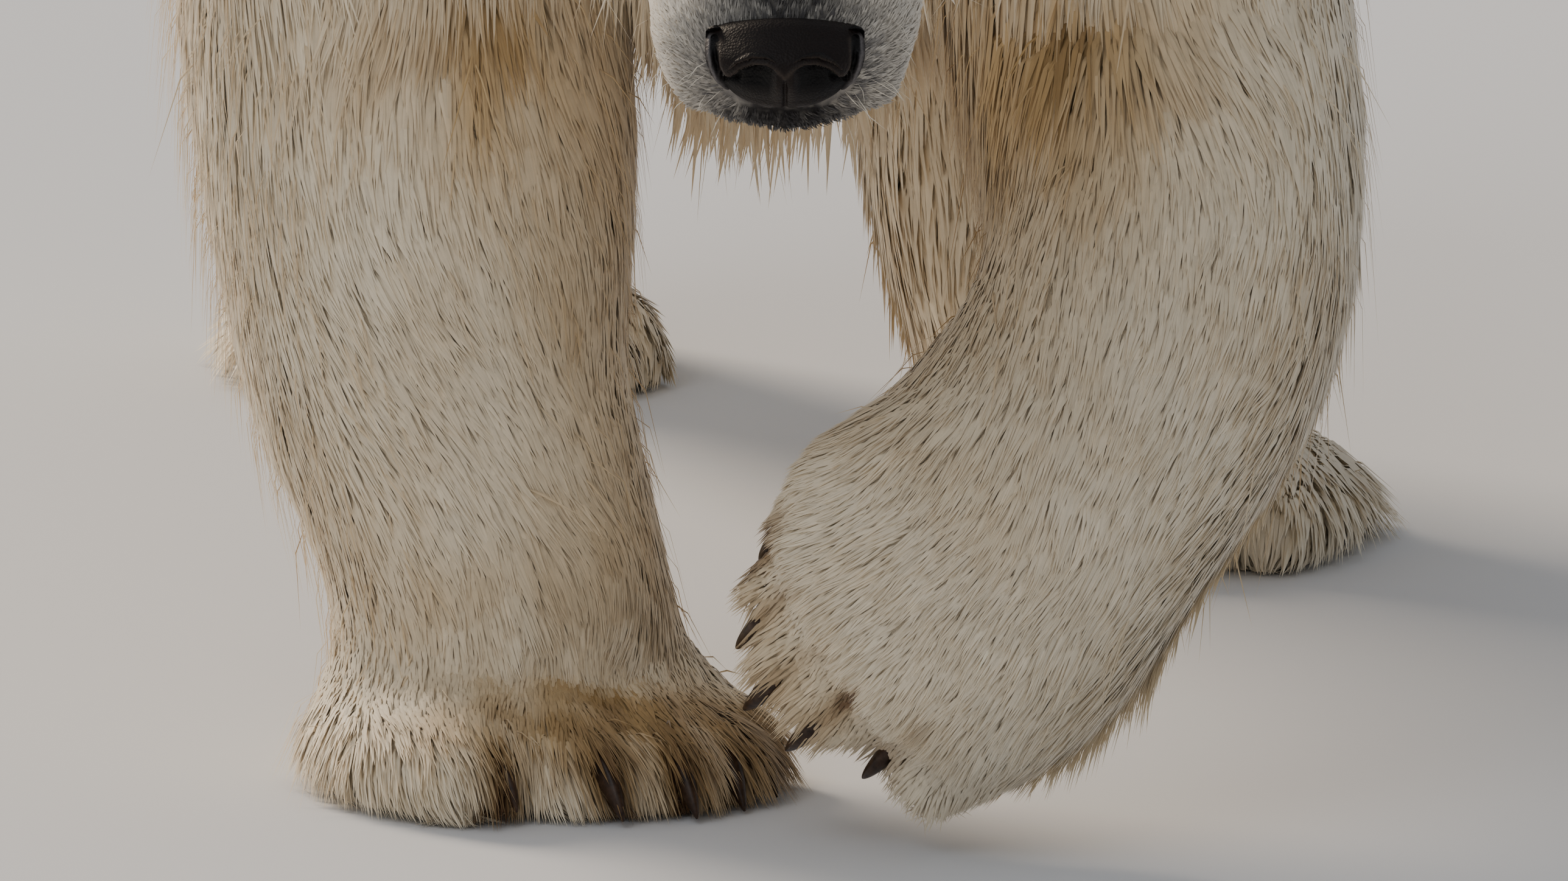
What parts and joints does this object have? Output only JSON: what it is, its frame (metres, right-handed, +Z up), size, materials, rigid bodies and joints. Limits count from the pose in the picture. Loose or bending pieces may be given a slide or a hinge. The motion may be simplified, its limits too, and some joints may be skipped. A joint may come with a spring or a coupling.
{
  "type": "polar bear",
  "caption": "Life-size still model of a polar bear in mid walk, head carried low, left forepaw lifted just off the floor, ivory coat with golden-brown stains.",
  "frame": {"origin": "on the floor under the centre of the whole bear's box", "axes": "+Z up; the bear faces -Y; its left side is +X"},
  "size_m": [0.7588, 2.4114, 1.3059],
  "materials": {
    "body_coat": "long soft ivory fur, golden at the elbows and along the legs",
    "head_coat": "short dense cream fur",
    "paw_coat": "coarse cream fur stained golden brown over the toes",
    "nose_skin": "bare black pebbled skin, moist",
    "claw_horn": "dark brown horn, satin",
    "eye_glass": "wet, near black brown"
  },
  "bodies": {
    "root": {"trunk": "body_coat", "neck": "body_coat", "head": "head_coat", "tail": "body_coat", "ear_left": "head_coat", "ear_right": "head_coat", "eye_left": "eye_glass", "eye_right": "eye_glass", "nose": "nose_skin", "fore_left_paw": "paw_coat", "fore_left_forearm": "body_coat", "fore_left_upper_arm": "body_coat", "hind_left_foot": "paw_coat", "hind_left_shank": "body_coat", "hind_left_thigh": "body_coat", "fore_right_paw": "paw_coat", "fore_right_forearm": "body_coat", "fore_right_upper_arm": "body_coat", "hind_right_foot": "paw_coat", "hind_right_shank": "body_coat", "hind_right_thigh": "body_coat", "claw_fore_left_1": "claw_horn", "claw_fore_left_2": "claw_horn", "claw_fore_left_3": "claw_horn", "claw_fore_left_4": "claw_horn", "claw_fore_left_5": "claw_horn", "claw_fore_right_1": "claw_horn", "claw_fore_right_2": "claw_horn", "claw_fore_right_3": "claw_horn", "claw_fore_right_4": "claw_horn", "claw_fore_right_5": "claw_horn", "claw_hind_left_1": "claw_horn", "claw_hind_left_2": "claw_horn", "claw_hind_left_3": "claw_horn", "claw_hind_left_4": "claw_horn", "claw_hind_left_5": "claw_horn", "claw_hind_right_1": "claw_horn", "claw_hind_right_2": "claw_horn", "claw_hind_right_3": "claw_horn", "claw_hind_right_4": "claw_horn", "claw_hind_right_5": "claw_horn"}
  },
  "joints": []
}
